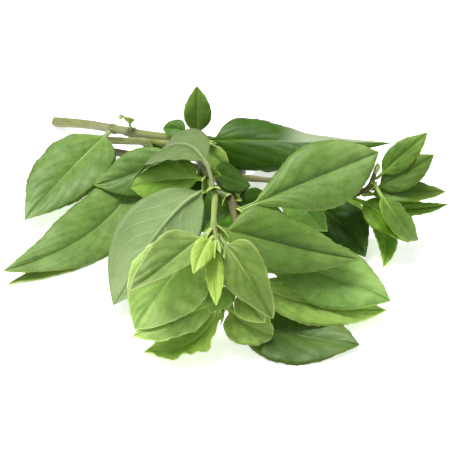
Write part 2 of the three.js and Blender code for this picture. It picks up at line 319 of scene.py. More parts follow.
def blade_points(sheet, s, v):
    """The middle of the blade's thickness at each share s along it and v across it: a parabola
    through midrib, fold line and rim."""
    lines = along_curve(sheet.lines, s)[:, :, None, :]
    rim_a, fold_a, middle, fold_b, rim_b = (lines[:, i] for i in range(5))
    size = np.abs(v)[None, :, None]
    fold = np.where((v > 0)[None, :, None], fold_a, fold_b)
    rim = np.where((v > 0)[None, :, None], rim_a, rim_b)
    near = (size - FOLD_AT) * (size - 1) / FOLD_AT
    mid = size * (size - 1) / (FOLD_AT * (FOLD_AT - 1))
    far = size * (size - FOLD_AT) / (1 - FOLD_AT)
    return middle * near + fold * mid + rim * far


def surface_normals(grid, tops):
    down = np.gradient(grid, axis=0)
    across = np.gradient(grid, axis=1)
    normal = unit(np.cross(across, down))
    flip = np.sign((normal * tops[:, None]).sum(axis=-1, keepdims=True).mean(axis=1, keepdims=True))
    return normal * np.where(flip == 0, 1, flip)


def toothed(grid, s, v, teeth, height):
    """The blade with teeth along its rim that point to the tip."""
    bite = (s * teeth) % 1
    tooth = height * (bite ** TOOTH_SLANT - TOOTH_ROOT)
    tooth = tooth * ease(s, *TEETH_START) * ease_out(s, *TEETH_END)
    sideways = unit(grid[:, -1] - grid[:, 0])
    push = tooth[:, None] * np.abs(v)[None] ** TOOTH_REACH * np.sign(v)[None]
    return grid + sideways[:, None] * push[..., None]


def rim_ripple(s, v, habit):
    """How far the rim rises and falls in slow waves, less towards both ends."""
    around = 2 * np.pi * habit["ripples"]
    side = np.sign(v)[None]
    swing = 0
    for rate, height, by_seed, by_side in RIM_WAVES:
        shift = habit["seed"] * by_seed + by_side * side
        swing = swing + height * np.sin(around * rate * s[:, None] + shift)
    return habit["ripple"] * MM * swing * np.abs(v)[None] ** RIPPLE_REACH


def swelling(size, phase, fade, habit):
    """How far the blade rises between its side veins, where `fade` lets it, and how far each
    half bulges and its rim curls up."""
    wave = np.sin(np.pi * phase)
    puff = habit["puff"] * MM * (CREASED * np.abs(wave) + (1 - CREASED) * wave ** 2) * fade
    bulge = habit["bulge"] * 4 * size * (1 - size) + habit["cup"] * size ** CUP_REACH
    return puff, bulge * MM


def square_to(heading, side, tops):
    """Unit vectors square to `heading`: one along `side` and one on the side of `tops`."""
    side = unit(side - heading * (heading * side).sum(axis=1, keepdims=True))
    up = np.cross(side, heading)
    return side, up * np.sign((up * tops).sum(axis=1, keepdims=True))


def round_section(centre, side, up, radius, v):
    """The upper and under halves of rings about `centre`, channelled along the top."""
    turn = np.arcsin(np.clip(np.abs(v) ** 0.5, 0, 1)) * np.sign(v)
    x = np.sin(turn)
    z = np.cos(turn)
    channel = 1 - CHANNEL_DEPTH * np.exp(-(x / CHANNEL_WIDTH) ** 2)
    lift = up[:, None] * radius
    level = centre[:, None] + side[:, None] * radius * x[None, :, None]
    over = level + lift * (z * channel)[None, :, None]
    under = level - lift * z[None, :, None] * STALK_DEEPER
    return over, under


def stalk_rings(sheet, root, top, v):
    """The stalk's upper and under halves, from `root` on the stem to the foot of the blade."""
    line = np.array([root, *sheet.stalk, sheet.lines[1, 2]])
    share = np.linspace(0, STALK_ENDS, STALK_ROWS + 1)[:-1]
    centre = along_curve(line, share)
    heading = unit(along_curve(line, share + SMALL_STEP) - centre)
    side, up = square_to(heading, unit(sheet.lines[1, 0] - sheet.lines[1, 4]), top)
    swollen = 1 + STALK_SWELLING * np.exp(-(np.arange(STALK_ROWS) / SWELLING_ROWS) ** 2)
    return round_section(centre, side, up, sheet.radius * swollen[:, None, None], v)


def blade_skins(sheet, habit, s, v, teeth):
    """The blade's upper and under skins, and its half width at each share s."""
    size = np.abs(v)[None]
    tops = unit(along_curve(sheet.tops, s))
    grid = toothed(blade_points(sheet, s, v), s, v, teeth, habit["tooth"] * MM)
    normal = surface_normals(grid, tops)
    inside = (np.sin(np.pi * np.clip(s, 0, 1)) ** 0.5)[:, None]
    phase = vein_phase(s[:, None], v[None], habit)
    fade = ease(size, *SWELL_ACROSS[0]) * ease_out(size, *SWELL_ACROSS[1])
    fade = fade * (ease(s, *SWELL_ALONG[0]) * ease_out(s, *SWELL_ALONG[1]))[:, None]
    puff, bulge = swelling(size, phase, fade, habit)
    grid = grid + normal * (rim_ripple(s, v, habit) * inside + (puff + bulge * inside))[..., None]
    normal = surface_normals(grid, tops)

    # a groove over the midrib, and under it a keel that thins towards the tip
    groove = -GROOVE_DEPTH * np.exp(-(size * sheet.half_width / GROOVE_WIDTH) ** 2)
    groove = groove * (ease(s, *GROOVE_START) * (1 - GROOVE_FADE * s))[:, None]
    half = np.linalg.norm(grid[:, -1] - grid[:, 0], axis=1)[:, None] / 2
    keel_width = sheet.radius * (KEEL_WIDTH - KEEL_NARROWS * s)[:, None]
    keel = np.exp(-((size * half) / keel_width) ** 2) * sheet.radius * KEEL_HEIGHT
    keel = keel * ((1 - s) ** KEEL_TAPER)[:, None]
    ridge = np.exp(-((phase - np.round(phase)) / VEIN_RIDGE_WIDTH) ** 2) * VEIN_RIDGE * fade
    thick = np.where(size > RIM_FROM, RIM_THICK, BLADE_THICK) * (1 - THINNER_AT_TIP * s[:, None])
    over = grid + normal * (thick / 2 + groove)[..., None]
    under = grid - normal * (thick / 2 + keel + ridge)[..., None]

    # the stalk's section passes into the blade's over the first rows
    middle = along_curve(sheet.lines[:, 2], s)
    heading = unit(np.gradient(middle, axis=0))
    side, up = square_to(heading, unit(grid[:, -1] - grid[:, 0]), tops)
    ring_over, ring_under = round_section(middle, side, up, sheet.radius, v)
    blend = ease(s, 0.0, STALK_FADES_BY)[:, None, None]
    over = ring_over * (1 - blend) + over * blend
    under = ring_under * (1 - blend) + under * blend
    return over, under, half


def leaf_marks(sheet, habit, s, v, half):
    """What the leaf's materials read at each point: see `leaf_material`."""
    s = np.concatenate([np.linspace(*STALK_MARK, STALK_ROWS), s])[:, None]
    v = np.concatenate([v, v[-2:0:-1]])[None]
    half = np.concatenate([np.full((STALK_ROWS, 1), sheet.radius), half]) / MM
    shape = (s.shape[0], v.shape[1])
    # a painted reflection that pales one half of the leaf towards the tip
    painted_reflection = ease(s, *REFLECTION_FROM) * ease(v * np.sign(habit["pale"]), *REFLECTION_SIDE)
    # the leaf's tone, how full a green it is and how light it is; the last two are partly its own
    # and partly painted light and shade
    look = (habit["tone"], habit["sun"], habit["shade"])

    def mark(values, at_tip, at_root):
        rows_of = [np.broadcast_to(value, shape) for value in values]
        return np.concatenate([np.stack(rows_of, axis=-1).reshape(-1, 3), [at_tip, at_root]])

    size = np.abs(v)
    return {
        "blade": mark((s, v, painted_reflection * abs(habit["pale"])), (1, 0, 0), (STALK_MARK[0], 0, 0)),
        "kind": mark((vein_phase(s, v, habit), size * half, (1 - size) * half),
                     (0.5, 0, 0), (0.5, 0, 1)),
        "look": mark(look, look, look),
    }


def leaf_mesh(sheet, habit, foot=None):
    """A closed leaf: stalk and blade in one, with upper and under sides."""
    habit = {**PLAIN_HABIT, **habit}
    length = sheet.length / MM
    teeth = max(round(habit["teeth"] * min(length / TOOTHED_LEAF, MOST_TEETH)), FEWEST_TEETH)
    across = across_samples(ACROSS if length > SHORT_LEAF else ACROSS_SHORT)
    v = np.concatenate([-across[:0:-1], across])
    s = np.linspace(0, 1, teeth * ROWS_PER_TOOTH + 1)[:-1]
    root = sheet.stalk[0] if foot is None else foot
    over, under, half = blade_skins(sheet, habit, s, v, teeth)
    stalk_over, stalk_under = stalk_rings(sheet, root, unit(sheet.tops[0]), v)

    over = np.concatenate([stalk_over, over])
    under = np.concatenate([stalk_under, under])
    loop = np.concatenate([over, under[:, -2:0:-1]], axis=1)
    rows, around = loop.shape[:2]
    points = np.concatenate([loop.reshape(-1, 3), [sheet.lines[-1, 2]], [root]])
    points[:, 2] = np.maximum(points[:, 2], 0.0)
    last = (rows - 1) * around
    tip = rows * around
    faces = tube_faces(rows, around)
    faces += [(last + j, last + (j + 1) % around, tip) for j in range(around)]
    faces += [((j + 1) % around, j, tip + 1) for j in range(around)]
    is_under = np.arange(around) >= len(v) - 1
    face_material = np.concatenate([np.tile(is_under, rows), np.zeros(around)]).astype(int)
    return points, orient_outward(points, faces), face_material, leaf_marks(sheet, habit, s, v, half)


SMALL_ROWS = 9
SMALL_RADIUS = 0.3 * MM
SMALL_STALK = (3, 2, 1)  # how far below the foot the stalk's points sit, in radii
SMALL_WIDENS = 0.7       # the lower, the sooner the blade is at its widest
SMALL_HIGHEST = 0.42     # the highest value of the curve that gives its width
# how far the lines of LINES_AT rise on the inner side, as shares of the half width
SMALL_LIFTS = (0.5, 0.12, 0, 0.12, 0.5)


def small_sheet(foot, axis, outward, length, width, opening, closing):
    """A small leaf that starts at `foot`, leans `opening` radians away from `axis` and bends
    back by `closing` towards its tip."""
    across = unit(np.cross(axis, outward))
    share = np.linspace(0, 1, SMALL_ROWS)
    lean = opening - closing * share
    step = length / (SMALL_ROWS - 1)
    heading = axis * np.cos(lean)[:, None] + outward * np.sin(lean)[:, None]
    middle = foot + np.concatenate([np.zeros((1, 3)), np.cumsum(heading[:-1] * step, axis=0)])
    inner = unit(np.cross(heading, across))
    inner = inner * -np.sign((inner * outward).sum(axis=1, keepdims=True))
    half = width / 2 * share ** SMALL_WIDENS * (1 - share) / SMALL_HIGHEST
    half[0] = SMALL_RADIUS
    lines = []
    for place, lift in zip(LINES_AT, SMALL_LIFTS):
        lines.append(middle + across * (half * place)[:, None] + inner * (half * lift)[:, None])
    stalk = [foot - heading[0] * below * SMALL_RADIUS for below in SMALL_STALK]
    return Sheet(np.stack(lines, axis=1), inner, stalk, SMALL_RADIUS)


# ------------------------------------------------------------------ stems

STEM_ROW = 0.7 * MM      # from one ring to the next
STEM_POINTS = 32
CORNERS = 0.07           # how far its four corners stand out, as a share of its radius
RIBS = 12
RIB_HEIGHT = 0.02
RIB_SHIFT = 0.5
JOINT_SWELLING = 0.16
JOINT_LENGTH = 2.0 * MM
# rings that close the ends: their share of the end's radius, and how far on they sit
CUT_RINGS = [(0.3, 0.14), (0.62, 0.1), (0.86, -0.08), (0.97, -0.02)]
TIP_RINGS = [(0.8, 0.3), (0.45, 0.6)]
CUT_MIDDLE = 0.15        # how far on the middle of each end sits, in the same measure
TIP_MIDDLE = 0.7
CUT_EDGE = 1.1           # the cut's mark is this, less the ring's share of the radius


def stem_mesh(loft, joints, purple):
    """A square, ribbed stem with a cut end and swollen joints."""
    middles = np.array([ring.mean(axis=0) for ring in loft])
    radii = np.array([[spread(ring)] for ring in loft])
    length = np.linalg.norm(np.diff(middles, axis=0), axis=1).sum()
    share = np.linspace(0, 1, int(length / STEM_ROW))
    line = along_curve(middles, share)
    radius = along_curve(radii, share)[:, 0]
    near = np.min(np.abs(share[:, None] - np.array(joints)[None]), axis=1) * length
    joint = np.exp(-(near / JOINT_LENGTH) ** 2)
    radius = radius * (1 + JOINT_SWELLING * joint)
    heading = unit(np.gradient(line, axis=0))
    side = unit(np.cross(heading, [0, 0, 1]))
    up = np.cross(side, heading)
    angle = np.linspace(0, 2 * np.pi, STEM_POINTS, endpoint=False)
    section = 1 + CORNERS * np.cos(4 * angle) + RIB_HEIGHT * np.cos(RIBS * angle + RIB_SHIFT)

    rows = [(0, size, reach * radius[0], 1.0) for size, reach in CUT_RINGS]
    rows += [(i, 1.0, 0.0, 0.0) for i in range(len(share))]
    rows += [(len(share) - 1, size, reach * radius[-1], 0.0) for size, reach in TIP_RINGS]
    points = []
    blade = []
    kind = []
    for i, size, reach, mask in rows:
        swollen = radius[i] * size * (1 + (section - 1) * size)
        centre = line[i] + heading[i] * reach
        ring = np.outer(swollen * np.cos(angle), side[i]) + np.outer(swollen * np.sin(angle), up[i])
        points.append(centre + ring)
        hue = purple[0] + (purple[1] - purple[0]) * share[i]
        blade.append([(share[i], a / (2 * np.pi), hue) for a in angle])
        kind.append([(joint[i], mask * (CUT_EDGE - size), 0.0)] * STEM_POINTS)
    cut_middle = line[0] + heading[0] * CUT_MIDDLE * radius[0]
    tip_middle = line[-1] + heading[-1] * TIP_MIDDLE * radius[-1]
    points = np.concatenate([np.concatenate(points), [cut_middle, tip_middle]])
    points[:, 2] = np.maximum(points[:, 2], 0.0)
    blade = np.concatenate([np.concatenate(blade), [(0, 0, purple[0]), (1, 0, purple[1])]])
    kind = np.concatenate([np.concatenate(kind), [(0, CUT_EDGE, 0), (0, 0, 0)]])
    total = len(rows)
    faces = tube_faces(total, STEM_POINTS)
    first = total * STEM_POINTS
    last = (total - 1) * STEM_POINTS
    for j in range(STEM_POINTS):
        k = (j + 1) % STEM_POINTS
        faces.append((k, j, first))
        faces.append((last + j, last + k, first + 1))
    faces = orient_outward(points, faces)
    return points, faces, np.zeros(len(faces), int), {"blade": blade, "kind": kind}


def joined(parts):
    """Several meshes as one."""
    points = []
    faces = []
    face_material = []
    marks = {"blade": [], "kind": [], "look": []}
    start = 0
    for part_points, part_faces, part_material, part_marks in parts:
        points.append(part_points)
        faces += [tuple(i + start for i in face) for face in part_faces]
        face_material.append(part_material)
        for mark in marks:
            marks[mark].append(part_marks[mark])
        start += len(part_points)
    marks = {mark: np.concatenate(values) for mark, values in marks.items()}
    return np.concatenate(points), faces, np.concatenate(face_material), marks


# ------------------------------------------------------------------ materials

class Maths:
    """A new material's nodes, and short ways of writing its sums."""

    def __init__(self, name):
        self.material = bpy.data.materials.new(name)
        self.material.use_nodes = True
        self.tree = self.material.node_tree
        self.tree.nodes.clear()
        self.output = self.tree.nodes.new("ShaderNodeOutputMaterial")
        self.place = self.tree.nodes.new("ShaderNodeTexCoord").outputs["Object"]

    def do(self, operation, *values, clamp=False):
        made = self.tree.nodes.new("ShaderNodeMath")
        made.operation = operation
        made.use_clamp = clamp
        for socket, value in zip(made.inputs, values):
            self.feed(socket, value)
        return made.outputs[0]

    def times(self, value, factor):
        return self.do("MULTIPLY", value, factor)

    def total(self, first, *others):
        for other in others:
            first = self.do("ADD", first, other)
        return first

    def strayed(self, value, noise, much):
        """The value plus how far the noise is from its middle, `much` times, within 0 to 1."""
        return self.do("ADD", value, self.times(self.do("SUBTRACT", noise, 0.5), much), clamp=True)

    def feed(self, socket, value):
        if isinstance(value, bpy.types.NodeSocket):
            self.tree.links.new(value, socket)
        else:
            socket.default_value = value

    def mark(self, name):
        """The three values that the mesh carries under this name."""
        made = self.tree.nodes.new("ShaderNodeAttribute")
        made.attribute_name = name
        split = self.tree.nodes.new("ShaderNodeSeparateXYZ")
        self.feed(split.inputs[0], made.outputs["Vector"])
        return split.outputs

    def scaled(self, colour, factor):
        made = self.tree.nodes.new("ShaderNodeVectorMath")
        made.operation = "SCALE"
        self.feed(made.inputs[0], colour)
        self.feed(made.inputs["Scale"], factor)
        return made.outputs[0]

    def smooth(self, value, low, high, to_low=0.0, to_high=1.0):
        """`to_low` where the value is `low` or less, `to_high` from `high` on, eased between."""
        made = self.tree.nodes.new("ShaderNodeMapRange")
        made.interpolation_type = "SMOOTHSTEP"
        for socket, given in zip(made.inputs, (value, low, high, to_low, to_high)):
            self.feed(socket, given)
        return made.outputs[0]

    def blend(self, share, first, second, mode="MIX"):
        made = self.tree.nodes.new("ShaderNodeMix")
        made.data_type = "RGBA"
        made.blend_type = mode
        self.feed(made.inputs[0], share)
        self.feed(made.inputs[6], first)
        self.feed(made.inputs[7], second)
        return made.outputs[2]

    def noise(self, place, scale, detail, rough):
        made = self.tree.nodes.new("ShaderNodeTexNoise")
        self.feed(made.inputs["Vector"], place)
        made.inputs["Scale"].default_value = scale
        made.inputs["Detail"].default_value = detail
        made.inputs["Roughness"].default_value = rough
        return made.outputs[0]

    def net(self, place, scale):
        """How far each point is from the lines of an uneven net."""
        made = self.tree.nodes.new("ShaderNodeTexVoronoi")
        made.feature = "DISTANCE_TO_EDGE"
        made.inputs["Scale"].default_value = scale
        self.feed(made.inputs["Vector"], place)
        return made.outputs[0]

    def bump(self, height, strength, distance):
        made = self.tree.nodes.new("ShaderNodeBump")
        made.inputs["Strength"].default_value = strength
        made.inputs["Distance"].default_value = distance
        self.feed(made.inputs["Height"], height)
        return made.outputs[0]


def srgb(*values):
    """A colour as seen on a screen, 0 to 255, as the linear one a shader takes."""
    shares = [value / 255 for value in values]
    return tuple(c / 12.92 if c <= 0.04045 else ((c + 0.055) / 1.055) ** 2.4 for c in shares) + (1,)


# how fine each noise is: the higher, the finer
BROAD = 90
BLOTCHES = 130
MOTTLES = 260
FINE = 700
STEM_GRAIN = 3000
LEAF_GRAIN = 4200

# the pale colour of a painted reflection
REFLECTION_COLOUR = srgb(178, 192, 156)
CUT_FLESH = srgb(206, 208, 170)
DEEPER_GREEN = (0.97, 1.1, 0.32, 1)     # a leaf's colour is multiplied by this as far as it takes a fuller green: partly its own, partly painted for light seen through leaves in shade
SEEN_THROUGH = (1.0, 0.95, 0.35, 1)     # and by this where light comes through the blade
GLOW = 0.25                             # how much light comes through
LEAF_BUMP = (0.6, 0.28 * MM)            # strength and height
STEM_BUMP = (0.5, 0.2 * MM)
BROAD_PATCHES = 1.3                     # how far the noises shift a leaf's tone
FINE_PATCHES = 0.35
# painted shade: how dark the valleys beside the side veins and the hollow beside the midrib are
# painted
VALLEY_SHADE = 0.46
SHADE_BY_MIDRIB = 0.35
PALER_ROOT = 0.35
MIDRIB_COLOUR = 0.8
STREAK_PURPLE = 1.5                     # how far the noises shift how purple a stem is
BLOTCH_PURPLE = 0.9
DARK_JOINT = 0.45
# how far each of these stands out on a leaf or a stem
VALLEY_HEIGHT = -0.25
GRAIN_HEIGHT = 0.1
FINE_HEIGHT = 0.3
MOTTLE_HEIGHT = 0.6
STREAK_HEIGHT = 0.7
STEM_GRAIN_HEIGHT = 0.4

# how strongly a leaf shows a thing, on its upper and on its under side
# first, how dark the painted shade in the valleys and beside the midrib is
PAINTED_SHADE_STRENGTH = (0.55, 0.25)
NET_COLOUR = (0.08, 0.16)
SIDE_VEIN_COLOUR = (0.2, 0.55)
SIDE_VEIN_WIDTH = (0.05, 0.07)
MIDRIB_AT_TIP = (0.2, 0.6)
SIDE_VEIN_HEIGHT = (-0.2, 0.5)
NET_HEIGHT = (-0.1, 0.12)
ROUGHNESS = (0.34, 0.5)
SPECULAR = (0.3, 0.25)
SHEEN = (0.03, 0.15)


def leaf_material(name, cool, warm, mottle_and_shade, vein, rim, under=False):
    """The skin of a leaf: `cool` to `warm` in soft patches, a darker green in mottles and, as
    painted shade, in the valleys along the veins and beside the midrib, `vein` on the veins and
    `rim` at the edge.

    The marks of `blade` are the share along the blade, the share across it and how far a painted
    reflection pales it; those of `kind` the count of side veins so far, and the mm from the midrib
    and from the rim; those of `look` how warm, how full a green and how light the whole leaf is,
    the last two partly its own and partly painted light and shade.
    """
    m = Maths(name)
    s, v, painted_reflection = m.mark("blade")
    phase, from_mid, from_edge = m.mark("kind")
    tone, sun, light = m.mark("look")

    # where the veins are, and the valleys beside them
    size = m.do("ABSOLUTE", v)
    off = m.do("ABSOLUTE", m.do("SUBTRACT", phase, m.do("ROUND", phase)))
    fade = m.times(m.smooth(size, 0.7, 0.98, 1.0, 0.0), m.smooth(s, 0.0, 0.06))
    fade = m.times(fade, m.smooth(s, 0.8, 1.0, 1.0, 0.1))
    side_vein = m.times(m.smooth(off, 0.01, SIDE_VEIN_WIDTH[under], 1.0, 0.0), fade)
    valley = m.times(m.smooth(off, 0.0, 0.4, 1.0, 0.0), fade)
    midrib_width = m.smooth(s, -0.05, 0.8, 0.75, 0.16)
    midrib = m.smooth(m.do("DIVIDE", from_mid, midrib_width), 0.35, 1.0, 1.0, 0.0)
    midrib = m.times(midrib, m.smooth(s, 0.1, 0.75, 1.0, MIDRIB_AT_TIP[under]))
    # the hollow beside the midrib, where shade is painted
    beside = m.times(m.smooth(from_mid, 0.3, 4.0, 1.0, 0.0), m.smooth(s, 0.15, 0.5))
    stalk = m.smooth(s, -0.02, 0.05, 1.0, 0.0)
    net_line = m.smooth(m.net(m.place, FINE), 0.0, 0.1, 1.0, 0.0)
    broad = m.noise(m.place, BROAD, 3, 0.55)
    fine = m.noise(m.place, FINE, 3, 0.6)
    mottle = m.noise(m.place, MOTTLES, 4, 0.65)
    grain = m.noise(m.place, LEAF_GRAIN, 2, 0.6)

    patch = m.strayed(m.strayed(tone, broad, BROAD_PATCHES), fine, FINE_PATCHES)
    colour = m.blend(patch, cool, warm)
    colour = m.blend(m.smooth(mottle, 0.42, 0.68, 0.0, 0.4), colour, mottle_and_shade)
    # painted shade: the valleys and the hollow beside the midrib are darkened towards the darker
    # green, as if shade lay in them
    shade = m.do("MAXIMUM", m.times(valley, VALLEY_SHADE), m.times(beside, SHADE_BY_MIDRIB))
    shade = m.times(shade, m.smooth(fine, 0.3, 0.7, 0.5, 1.1))
    colour = m.blend(m.times(shade, PAINTED_SHADE_STRENGTH[under]), colour, mottle_and_shade)
    colour = m.blend(m.times(net_line, NET_COLOUR[under]), colour, vein)
    colour = m.blend(m.times(side_vein, SIDE_VEIN_COLOUR[under]), colour, vein)
    # painted sheen: towards the tip the leaf is paled in patches towards the vein colour, as if it
    # reflected the sky
    painted_sheen_tip = m.times(m.smooth(s, 0.5, 1.0), m.smooth(broad, 0.35, 0.65, 0.15, 0.5))
    colour = m.blend(painted_sheen_tip, colour, vein)
    colour = m.blend(m.smooth(from_edge, 0.15, 0.8, 0.6, 0.0), colour, rim)
    colour = m.blend(m.times(m.smooth(s, 0.0, 0.2, 1.0, 0.0), PALER_ROOT), colour, rim)
    colour = m.blend(m.do("MAXIMUM", m.times(midrib, MIDRIB_COLOUR), stalk), colour, vein)
    # a fuller green: partly the leaf's own, partly painted for light seen through leaves lying in
    # shade
    colour = m.blend(sun, colour, m.blend(1.0, colour, DEEPER_GREEN, "MULTIPLY"))
    # each leaf's lightness, partly its own tone and partly painted light and shade; then a painted
    # pale reflection on one half of some leaves
    colour = m.blend(painted_reflection, m.scaled(colour, light), REFLECTION_COLOUR)

    height = m.total(m.times(valley, VALLEY_HEIGHT), m.times(side_vein, SIDE_VEIN_HEIGHT[under]),
                     m.times(net_line, NET_HEIGHT[under]), m.times(grain, GRAIN_HEIGHT),
                     m.times(fine, FINE_HEIGHT), m.times(mottle, MOTTLE_HEIGHT))
    bump = m.bump(height, *LEAF_BUMP)

    skin = m.tree.nodes.new("ShaderNodeBsdfPrincipled")
    m.feed(skin.inputs["Base Color"], colour)
    rough = m.total(m.times(fine, 0.2), ROUGHNESS[under], m.times(side_vein, 0.1))
    m.feed(skin.inputs["Roughness"], rough)
    skin.inputs["Specular IOR Level"].default_value = SPECULAR[under]
    skin.inputs["Sheen Weight"].default_value = SHEEN[under]
    skin.inputs["Sheen Roughness"].default_value = 0.4
    m.feed(skin.inputs["Normal"], bump)
    through = m.tree.nodes.new("ShaderNodeBsdfTranslucent")
    m.feed(through.inputs["Color"], m.blend(1.0, colour, SEEN_THROUGH, "MULTIPLY"))
    m.feed(through.inputs["Normal"], bump)
    mix = m.tree.nodes.new("ShaderNodeMixShader")
    mix.inputs[0].default_value = GLOW
    m.feed(mix.inputs[1], skin.outputs[0])
    m.feed(mix.inputs[2], through.outputs[0])
    m.feed(m.output.inputs["Surface"], mix.outputs[0])
    return m.material


STREAKS_ALONG = 9.0
STREAKS_ROUND = 16.0


def stem_material(name, green, pale, purple, dark):
    """Green streaked with purple, `dark` at the joints and fleshy at the cut end.

    The marks of `blade` are the shares along and round the stem and how purple it is; those of
    `kind` how close a joint is, and how far in on the cut.
    """
    m = Maths(name)
    share, around, purpleness = m.mark("blade")
    joint, cut, _ = m.mark("kind")
    stretched = m.tree.nodes.new("ShaderNodeCombineXYZ")
    m.feed(stretched.inputs[0], m.times(share, STREAKS_ALONG))
    m.feed(stretched.inputs[1], m.times(m.do("PINGPONG", around, 0.5), STREAKS_ROUND))
    streak = m.noise(stretched.outputs[0], 1.6, 4, 0.6)
    blotch = m.noise(m.place, BLOTCHES, 3, 0.55)
    grain = m.noise(m.place, STEM_GRAIN, 3, 0.6)

    colour = m.blend(blotch, green, pale)
    hue = m.strayed(m.strayed(purpleness, streak, STREAK_PURPLE), blotch, BLOTCH_PURPLE)
    colour = m.blend(hue, colour, purple)
    colour = m.blend(m.times(joint, DARK_JOINT), colour, dark)
    flesh = m.blend(m.smooth(cut, 0.1, 0.6), green, CUT_FLESH)
    colour = m.blend(m.smooth(cut, 0.02, 0.12), colour, flesh)

    skin = m.tree.nodes.new("ShaderNodeBsdfPrincipled")
    m.feed(skin.inputs["Base Color"], colour)
    m.feed(skin.inputs["Roughness"], m.total(m.times(grain, 0.2), 0.38))
    skin.inputs["Specular IOR Level"].default_value = 0.4
    skin.inputs["Sheen Weight"].default_value = 0.12
    skin.inputs["Sheen Roughness"].default_value = 0.5
    height = m.total(m.times(streak, STREAK_HEIGHT), m.times(grain, STEM_GRAIN_HEIGHT))
    m.feed(skin.inputs["Normal"], m.bump(height, *STEM_BUMP))
    m.feed(m.output.inputs["Surface"], skin.outputs[0])
    return m.material


STEM_MATERIALS = {
    "stem_green": stem_material("stem_green", srgb(126, 148, 60), srgb(158, 178, 92),
                                srgb(128, 114, 84), srgb(104, 98, 62)),
    "stem_purple": stem_material("stem_purple", srgb(116, 128, 62), srgb(146, 150, 92),
                                 srgb(90, 76, 50), srgb(64, 56, 34)),
}

# the upper side's `cool`, `warm`, the darker green of its mottles and painted shade, `vein` and
# `rim`, then the under side's
LEAF_COLOURS = {
    "leaf_old": (
        [(48, 86, 14), (74, 112, 20), (30, 60, 6), (104, 136, 52), (90, 126, 26)],
        [(104, 134, 80), (122, 148, 86), (86, 116, 58), (158, 178, 120), (120, 150, 66)]),
    "leaf_mature": (
        [(88, 124, 58), (120, 150, 68), (54, 90, 22), (152, 176, 112), (150, 178, 80)],
        [(138, 168, 104), (152, 178, 112), (118, 150, 84), (192, 208, 156), (150, 180, 92)]),
    "leaf_young": (
        [(116, 150, 66), (144, 172, 88), (80, 118, 30), (188, 206, 144), (216, 230, 152)],
        [(150, 182, 100), (168, 196, 108), (128, 164, 76), (198, 216, 150), (182, 208, 108)]),
    "leaf_bud": (
        [(158, 192, 72), (180, 208, 92), (124, 164, 44), (200, 220, 126), (204, 226, 112)],
        [(172, 200, 100), (188, 212, 112), (150, 184, 76), (206, 224, 148), (200, 222, 118)]),
}
LEAF_MATERIALS = {}
for slot_name, (upper, lower) in LEAF_COLOURS.items():
    LEAF_MATERIALS[slot_name] = [
        leaf_material(slot_name + "_upper", *[srgb(*colour) for colour in upper]),
        leaf_material(slot_name + "_under", *[srgb(*colour) for colour in lower], under=True),
    ]

SLOT_OF = {part["node"]: part["material_slot"] for part in frame["record"]["subparts"]}

# ------------------------------------------------------------------ build the bunch

